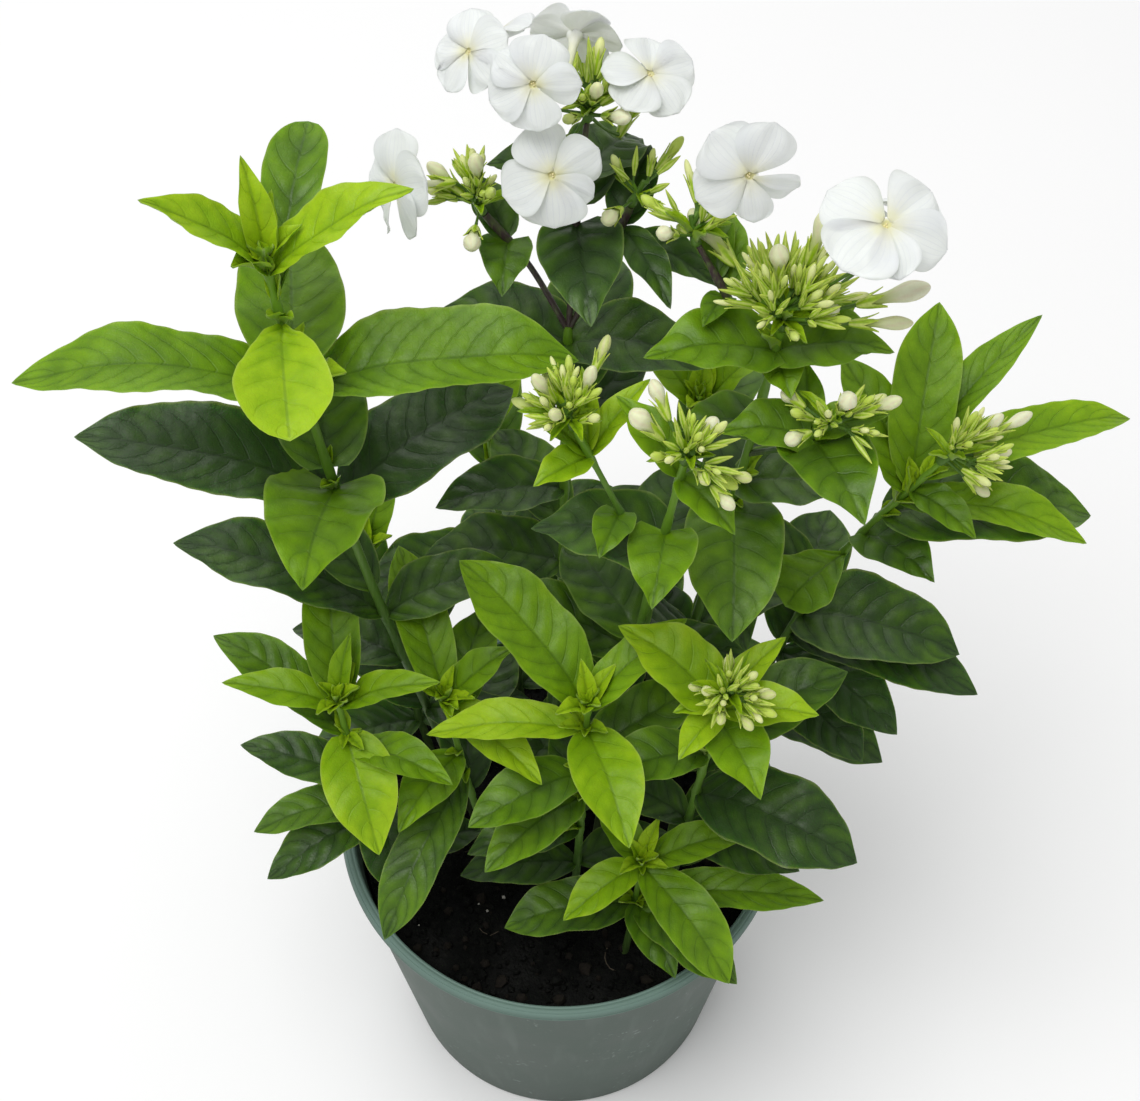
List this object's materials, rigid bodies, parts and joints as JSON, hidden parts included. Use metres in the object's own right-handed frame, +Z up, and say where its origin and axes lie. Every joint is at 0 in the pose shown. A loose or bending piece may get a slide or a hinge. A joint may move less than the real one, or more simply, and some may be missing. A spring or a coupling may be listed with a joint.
{
  "type": "potted garden phlox",
  "caption": "Bushy potted garden phlox with opposite leaves up several stems, branched bud heads and white five-petalled blooms, in a round tapered nursery pot that stands on its flat foot.",
  "frame": {"origin": "centre of the pot's flat foot", "axes": "+Z up along the pot's axis, -Y towards the side the picture was taken from, +X to the right as seen from there"},
  "size_m": [0.3193, 0.1931, 0.4766],
  "materials": {
    "pot": "muted grey-green, satin, lightly mottled",
    "soil": "near-black damp peat, rough",
    "foliage": "dark to lime green leaf and stem, faint gloss",
    "head": "lime sepals and cream buds, matt",
    "bloom": "white petal, matt, slightly translucent"
  },
  "bodies": {
    "root": {"bloom_back_left": "bloom", "bloom_back_right": "bloom", "bloom_behind_right": "bloom", "bloom_centre": "bloom", "bloom_low": "bloom", "bloom_right": "bloom", "bloom_right_back": "bloom", "bloom_side": "bloom", "bloom_top": "bloom", "bloom_upper_left": "bloom", "bloom_upper_right": "bloom", "head_budding": "head", "head_centre": "head", "head_far_right": "head", "head_inner": "head", "head_inner_left": "head", "head_left": "head", "head_right": "head", "head_right_back": "head", "head_right_low": "head", "head_upper_right": "head", "pot": "pot", "soil": "soil", "stem_back_left": "foliage", "stem_back_right": "foliage", "stem_budding": "foliage", "stem_centre_back": "foliage", "stem_centre_shoot": "foliage", "stem_far_right": "foliage", "stem_front_shoot": "foliage", "stem_inner": "foliage", "stem_left_middle": "foliage", "stem_left_shoot": "foliage", "stem_right": "foliage", "stem_side_left": "foliage", "stem_tall_left": "foliage"}
  },
  "joints": []
}
